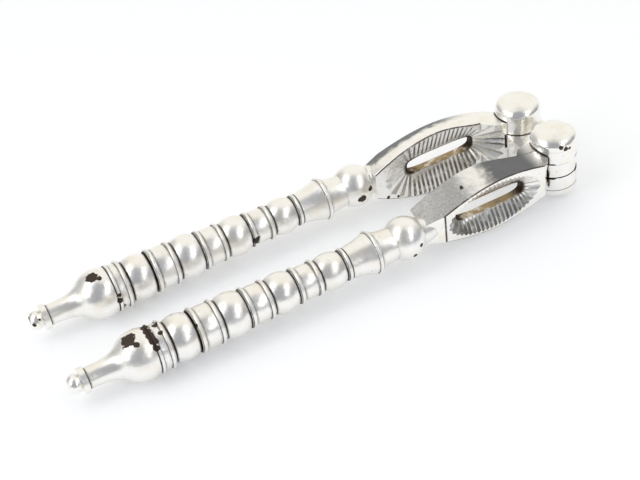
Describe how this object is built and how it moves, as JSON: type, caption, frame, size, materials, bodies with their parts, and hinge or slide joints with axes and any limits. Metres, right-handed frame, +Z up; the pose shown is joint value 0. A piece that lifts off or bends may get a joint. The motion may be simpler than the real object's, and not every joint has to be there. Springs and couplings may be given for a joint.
{
  "type": "lever nutcracker",
  "caption": "Silver-plated reversible lever nutcracker: turned handles and slotted, fluted jaws that swing on a double-pin hinge with domed caps.",
  "frame": {"origin": "middle of the footprint, at the level of the lowest point of the hinge's bottom caps", "axes": "+X along the arms from the handle tips to the hinge, +Y towards the left arm, +Z up along the hinge pins"},
  "size_m": [0.1624, 0.0434, 0.0223],
  "materials": {
    "handle_plate": "bright silver plate, worn through to dark metal on the high spots",
    "jaw_plate": "bright silver plate, pitted, with brown tarnish in the flutes",
    "hinge_plate": "bright silver plate with dark seams",
    "steel": "plain turned steel, hidden in use"
  },
  "bodies": {
    "link": {"hinge_link": "hinge_plate", "left_pin": "steel", "left_top_cap": "hinge_plate", "left_bottom_cap": "hinge_plate", "right_pin": "steel", "right_top_cap": "hinge_plate", "right_bottom_cap": "hinge_plate"},
    "left_arm": {"left_jaw": "jaw_plate", "left_handle": "handle_plate", "left_stud": "steel", "left_finial": "handle_plate"},
    "right_arm": {"right_jaw": "jaw_plate", "right_handle": "handle_plate", "right_stud": "steel", "right_finial": "handle_plate"}
  },
  "joints": [
    {"name": "left_hinge", "type": "hinge", "parent": "link", "child": "left_arm", "pos_m": [0.0744, 0.0091, 0.01117], "axis": [0, 0, -1], "range_deg": [-2.8, 177]},
    {"name": "right_hinge", "type": "hinge", "parent": "link", "child": "right_arm", "pos_m": [0.0744, -0.0091, 0.01117], "axis": [0, 0, 1], "range_deg": [-2.8, 177]}
  ]
}
